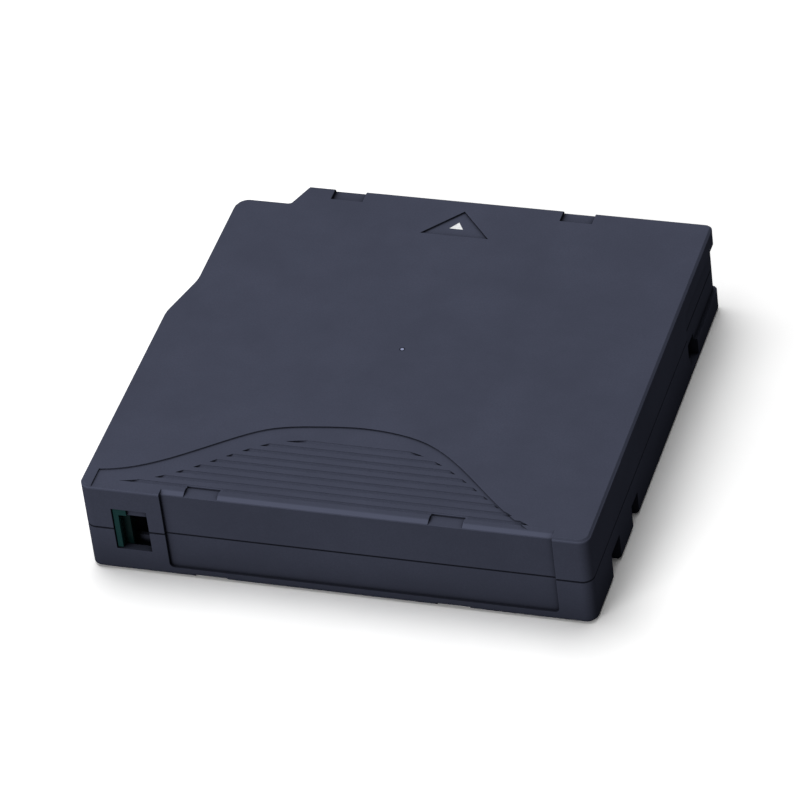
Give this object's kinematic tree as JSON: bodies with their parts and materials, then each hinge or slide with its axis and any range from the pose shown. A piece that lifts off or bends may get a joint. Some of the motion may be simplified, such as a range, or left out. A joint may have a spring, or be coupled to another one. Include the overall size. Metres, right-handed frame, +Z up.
{
  "type": "data tape cartridge",
  "caption": "Flat two-part cartridge holding one reel of wide magnetic tape, with a sliding access door, a leader pin, a reel lock and a write-protect switch.",
  "frame": {"origin": "centre of the case's plan, on its bottom face", "axes": "+Z up out of the top face, +X right, +Y towards the end that enters a drive, label face at the low end of Y"},
  "size_m": [0.1054, 0.102, 0.0215],
  "materials": {
    "case_plastic": "fine moulded grain, blue-black",
    "door_plastic": "smooth moulded, blue-black",
    "switch_plastic": "smooth, very dark green",
    "clip_plastic": "smooth grey",
    "reel_plastic": "satin natural plastic",
    "brake_plastic": "satin white plastic",
    "spider_plastic": "satin white plastic",
    "wound_tape": "dark brown wound edges",
    "leader_film": "dark brown film",
    "board_green": "coated board",
    "chip_resin": "black resin",
    "screw_steel": "blackened steel",
    "spring_steel": "bright spring wire",
    "pin_steel": "ground steel",
    "plate_steel": "stamped steel"
  },
  "bodies": {
    "case": {"upper_shell": "case_plastic", "lower_shell": "case_plastic", "case_screws": "screw_steel", "door_spring": "spring_steel", "brake_spring": "spring_steel", "leader_pin": "pin_steel", "leader_pin_clip": "clip_plastic", "pin_spring": "spring_steel", "tape_leader": "leader_film", "memory_board": "board_green", "memory_chip": "chip_resin"},
    "door": {"access_door": "door_plastic"},
    "switch": {"write_protect_switch": "switch_plastic"},
    "reel": {"reel_hub": "reel_plastic", "reel_upper_flange": "reel_plastic", "reel_drive_plate": "plate_steel", "tape_pack": "wound_tape"},
    "brake": {"brake_button": "brake_plastic"},
    "spider": {"brake_release_spider": "spider_plastic"}
  },
  "joints": [
    {"name": "door_slide", "type": "slide", "parent": "case", "child": "door", "axis": [0, -1, 0], "range_m": [0, 0.019], "stiffness_N_per_m": 20, "springref_m": -0.015, "deforming": ["door_spring"]},
    {"name": "write_protect_slide", "type": "slide", "parent": "case", "child": "switch", "axis": [1, 0, 0], "range_m": [0, 0.0043]},
    {"name": "reel_spin", "type": "hinge", "parent": "case", "child": "reel", "pos_m": [0.0011, 0, 0], "axis": [0, 0, 1], "continuous": true},
    {"name": "brake_lift", "type": "slide", "parent": "case", "child": "brake", "axis": [0, 0, 1], "range_m": [0, 0.0015], "stiffness_N_per_m": 400, "springref_m": -0.005, "deforming": ["brake_spring"]},
    {"name": "spider_lift", "type": "slide", "parent": "reel", "child": "spider", "axis": [0, 0, 1], "range_m": [0, 0.0015]}
  ],
  "couplings": [
    {"joint": "spider_lift", "follows": "brake_lift", "ratio": 1}
  ]
}
